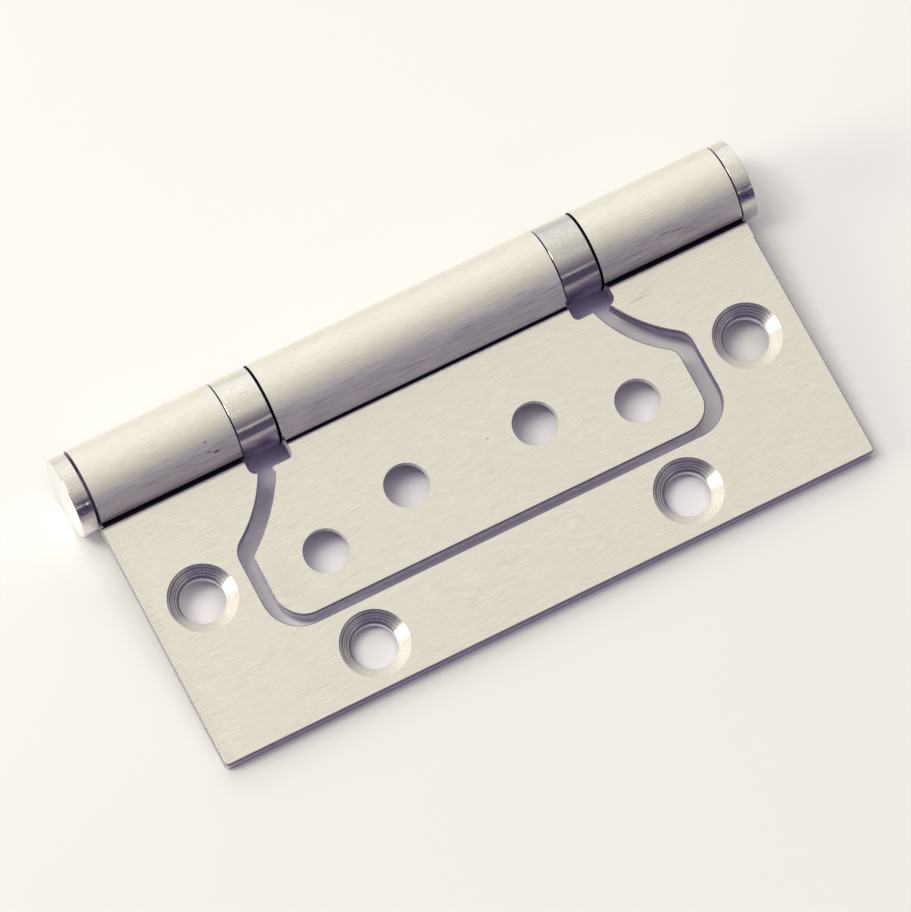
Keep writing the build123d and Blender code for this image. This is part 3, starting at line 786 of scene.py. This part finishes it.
# the floor paler towards the back (+Y), darker towards the front: a painted light falloff
floorLook = {
    "size": 12.0, "near": (0.700, 0.693, 0.676), "far": (0.645, 0.638, 0.622), "fade": (-50 * mm, 65 * mm),
    "roughness": 0.9, "specular": 0.1, "cloudSize": 30 * mm, "drift": 6 * mm,
    # patches of painted light and painted shade on the floor: a lilac tint below the free edge's holes, paler below the
    # inner leaf, the left end hole and beside the left cap, purple below the barrel
    "zones": [
        {"fromY": (-24.5 * mm, -23 * mm), "toY": (-15 * mm, -13 * mm), "fromX": (-49 * mm, -48 * mm),
         "toX": (48 * mm, 49 * mm), "colour": (0.67, 0.648, 0.664)},    # below the free edge's holes
        {"fromY": (-16 * mm, -13 * mm), "toY": (4 * mm, 9 * mm), "fromX": (-40 * mm, -38 * mm),
         "toX": (28 * mm, 31 * mm), "colour": (0.93, 0.895, 0.925)},    # below the inner leaf
        {"fromY": (-8 * mm, -6 * mm), "toY": (4 * mm, 9 * mm), "fromX": (-49 * mm, -47 * mm),
         "toX": (-40 * mm, -38 * mm), "colour": (0.79, 0.76, 0.775)},   # below the left end hole
        {"fromY": (4 * mm, 10 * mm), "toY": (16 * mm, 22 * mm), "fromX": (-58 * mm, -54 * mm),
         "toX": (-51 * mm, -50 * mm), "colour": (0.735, 0.727, 0.712)}, # beside the left cap
        {"fromY": (9 * mm, 14 * mm), "toY": (16 * mm, 19 * mm), "fromX": (-50 * mm, -49 * mm),
         "toX": (49 * mm, 50 * mm), "colour": (0.56, 0.50, 0.64)},      # below the barrel
    ],
}
mirroredFloor = {                            # the floor as polished steel reflects it
    "colour": (0.36, 0.34, 0.39), "before": (freeEdge - 2 * mm, freeEdge - 25 * mm),
    "underWithin": (-leafLeft, -leafLeft - 1 * mm), "underBefore": (pinAxis.y - 4 * mm, pinAxis.y - 6 * mm),
    "colourBehind": (0.84, 0.83, 0.81), "behind": (pinAxis.y + 7 * mm, pinAxis.y + 14 * mm),
}
bm = bmesh.new()
bmesh.ops.create_grid(bm, x_segments=1, y_segments=1, size=floorLook["size"] / 2)
lean = Matrix.Rotation(restingTilt(), 4, "X")
bmesh.ops.transform(bm, matrix=Matrix.Translation((0, freeEdge, leafBottom)) @ lean, verts=bm.verts)
floorMesh = bpy.data.meshes.new("paleFloor")
bm.to_mesh(floorMesh)
bm.free()
paleFloor = bpy.data.objects.new("paleFloor", floorMesh)
scene.collection.objects.link(paleFloor)
paleFloor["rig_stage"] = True

material, tree, shader, coords = startMaterial("floorPaper")
shader.inputs["Metallic"].default_value = 0.0
shader.inputs["Roughness"].default_value = floorLook["roughness"]
shader.inputs["Specular IOR Level"].default_value = floorLook["specular"]
x, y, z = splitAxes(tree, coords)
clouds = useGroup(tree, mottleGroup, Vector=coords, Size=floorLook["cloudSize"])["Cloud"]
slide = maths(tree, "ADD", y, times(tree, clouds, floorLook["drift"]))
paper = blendColour(tree, remap(tree, slide, *floorLook["fade"], 0, 1, True), floorLook["far"], floorLook["near"])
for zone in floorLook["zones"]:
    mask = times(tree, between(tree, y, zone["fromY"], zone["toY"], True), between(tree, x, zone["fromX"], zone["toX"]))
    paper = blendColour(tree, mask, paper, zone["colour"])
glancing = addNode(tree, "ShaderNodeLightPath").outputs["Is Glossy Ray"]
before = remap(tree, y, *mirroredFloor["before"], 0, 1, True)
under = times(tree, remap(tree, maths(tree, "ABSOLUTE", x), *mirroredFloor["underWithin"], 0, 1),
              remap(tree, y, *mirroredFloor["underBefore"], 0, 1))
darker = maths(tree, "MAXIMUM", before, under)
paper = blendColour(tree, times(tree, glancing, darker), paper, mirroredFloor["colour"])
behindBarrel = remap(tree, y, *mirroredFloor["behind"], 0, 1, True)
paper = blendColour(tree, times(tree, glancing, behindBarrel), paper, mirroredFloor["colourBehind"])
feed(tree, shader.inputs["Base Color"], paper)
underside = addNode(tree, "ShaderNodeNewGeometry").outputs["Backfacing"]
seeThrough = addNode(tree, "ShaderNodeBsdfTransparent")
mixed = addNode(tree, "ShaderNodeMixShader")
feed(tree, mixed.inputs[0], underside)
feed(tree, mixed.inputs[1], shader.outputs[0])
feed(tree, mixed.inputs[2], seeThrough.outputs[0])
feed(tree, tree.nodes["Material Output"].inputs["Surface"], mixed.outputs[0])
floorMesh.materials.append(material)

# the room, by the angle from straight up towards the free edge (-Y), in degrees
roomLight = {
    "stops": [(-95, (1.30, 1.31, 1.40)), (-75, (1.40, 1.40, 1.46)), (-55, (1.46, 1.45, 1.46)),
              (-35, (1.30, 1.28, 1.25)), (-15, (1.05, 1.03, 0.995)), (5, (0.975, 0.955, 0.925)),
              (18, (0.77, 0.745, 0.71)), (30, (0.57, 0.545, 0.515)), (43, (0.31, 0.295, 0.295)),
              (51.5, (0.20, 0.195, 0.21)), (53, (1.05, 1.03, 1.08)), (55.5, (1.05, 1.03, 1.08)),
              (57, (0.11, 0.108, 0.13)), (80, (0.12, 0.118, 0.145)), (92, (0.16, 0.155, 0.175))],
    "strength": 1.0, "backdrop": (0.93, 0.92, 0.89), "sides": 0.4, "sideSpan": (0.45, 0.85),
}
world = bpy.data.worlds.new("studio")
scene.world = world
world.use_nodes = True
tree = world.node_tree
background = tree.nodes["Background"]
x, y, z = splitAxes(tree, addNode(tree, "ShaderNodeTexCoord").outputs["Generated"])
angle = maths(tree, "ARCTAN2", times(tree, y, -1), z)
ramp = addNode(tree, "ShaderNodeValToRGB")
stops = roomLight["stops"]
while len(ramp.color_ramp.elements) < len(stops):
    ramp.color_ramp.elements.new(0.5)
for element, (degree, colour) in zip(ramp.color_ramp.elements, stops):
    element.position = (degree + 180) / 360
    element.color = (*colour, 1)
feed(tree, ramp.inputs[0], remap(tree, angle, -pi, pi, 0, 1))
seen = addNode(tree, "ShaderNodeLightPath").outputs["Is Camera Ray"]
sideways = remap(tree, maths(tree, "ABSOLUTE", x), *roomLight["sideSpan"], 1, roomLight["sides"], True)
dimmed = vectorMaths(tree, "SCALE", ramp.outputs[0], scale=sideways)
feed(tree, background.inputs["Color"], blendColour(tree, seen, dimmed, roomLight["backdrop"]))
background.inputs["Strength"].default_value = roomLight["strength"]

softBoxes = {                                # angles in degrees, sizes in metres, power in watts
    "lowPanel": {"azimuth": 165, "height": 18, "distance": 1.5, "width": 0.62, "tall": 0.5, "power": 10,
                 "colour": (1.0, 0.97, 0.90)},
    "highPanel": {"azimuth": 152, "height": 60, "distance": 1.5, "width": 0.40, "tall": 0.8, "power": 11,
                  "colour": (1.0, 0.98, 0.95)},
}
for name, box in softBoxes.items():
    lamp = bpy.data.lights.new(name, "AREA")
    lamp.shape = "RECTANGLE"
    lamp.size, lamp.size_y = box["width"], box["tall"]
    lamp.energy = box["power"]
    lamp.color = box["colour"]
    panel = bpy.data.objects.new(name, lamp)
    azimuth, height = radians(box["azimuth"]), radians(box["height"])
    towards = Vector((cos(azimuth) * cos(height), sin(azimuth) * cos(height), sin(height)))
    panel.location = towards * box["distance"]
    panel.rotation_euler = towards.to_track_quat("Z", "Y").to_euler()
    scene.collection.objects.link(panel)

# place in metres and turn in degrees, found from the photograph's straight edges, holes and round ends
photoView = {"place": (-0.17388, -0.23945, 0.87666), "turn": (18.5456, -2.7182, -27.5899),
             "lens": 260.26, "sensor": 36.0, "clip": (0.01, 50)}
camera = bpy.data.cameras.new("photoCamera")
camera.lens = photoView["lens"]
camera.sensor_width = photoView["sensor"]
camera.clip_start, camera.clip_end = photoView["clip"]
cameraObject = bpy.data.objects.new("photoCamera", camera)
cameraObject.location = photoView["place"]
cameraObject.rotation_euler = [radians(a) for a in photoView["turn"]]
scene.collection.objects.link(cameraObject)
scene.camera = cameraObject
scene.view_settings.view_transform = "Standard"

# the photograph's shadows are a little purple: a gentle curve on green and blue, in linear light
greenCurve, blueCurve = 1, 2
shadowTone = {
    greenCurve: [(0.12, 0.113), (0.28, 0.275), (0.60, 0.60)],
    blueCurve: [(0.12, 0.148), (0.24, 0.272), (0.42, 0.435), (0.62, 0.62)],
}
scene.view_settings.use_curve_mapping = True
curves = scene.view_settings.curve_mapping
for channel, points in shadowTone.items():
    for place, value in points:
        curves.curves[channel].points.new(place, value)
curves.update()
print("stage set")

low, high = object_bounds()
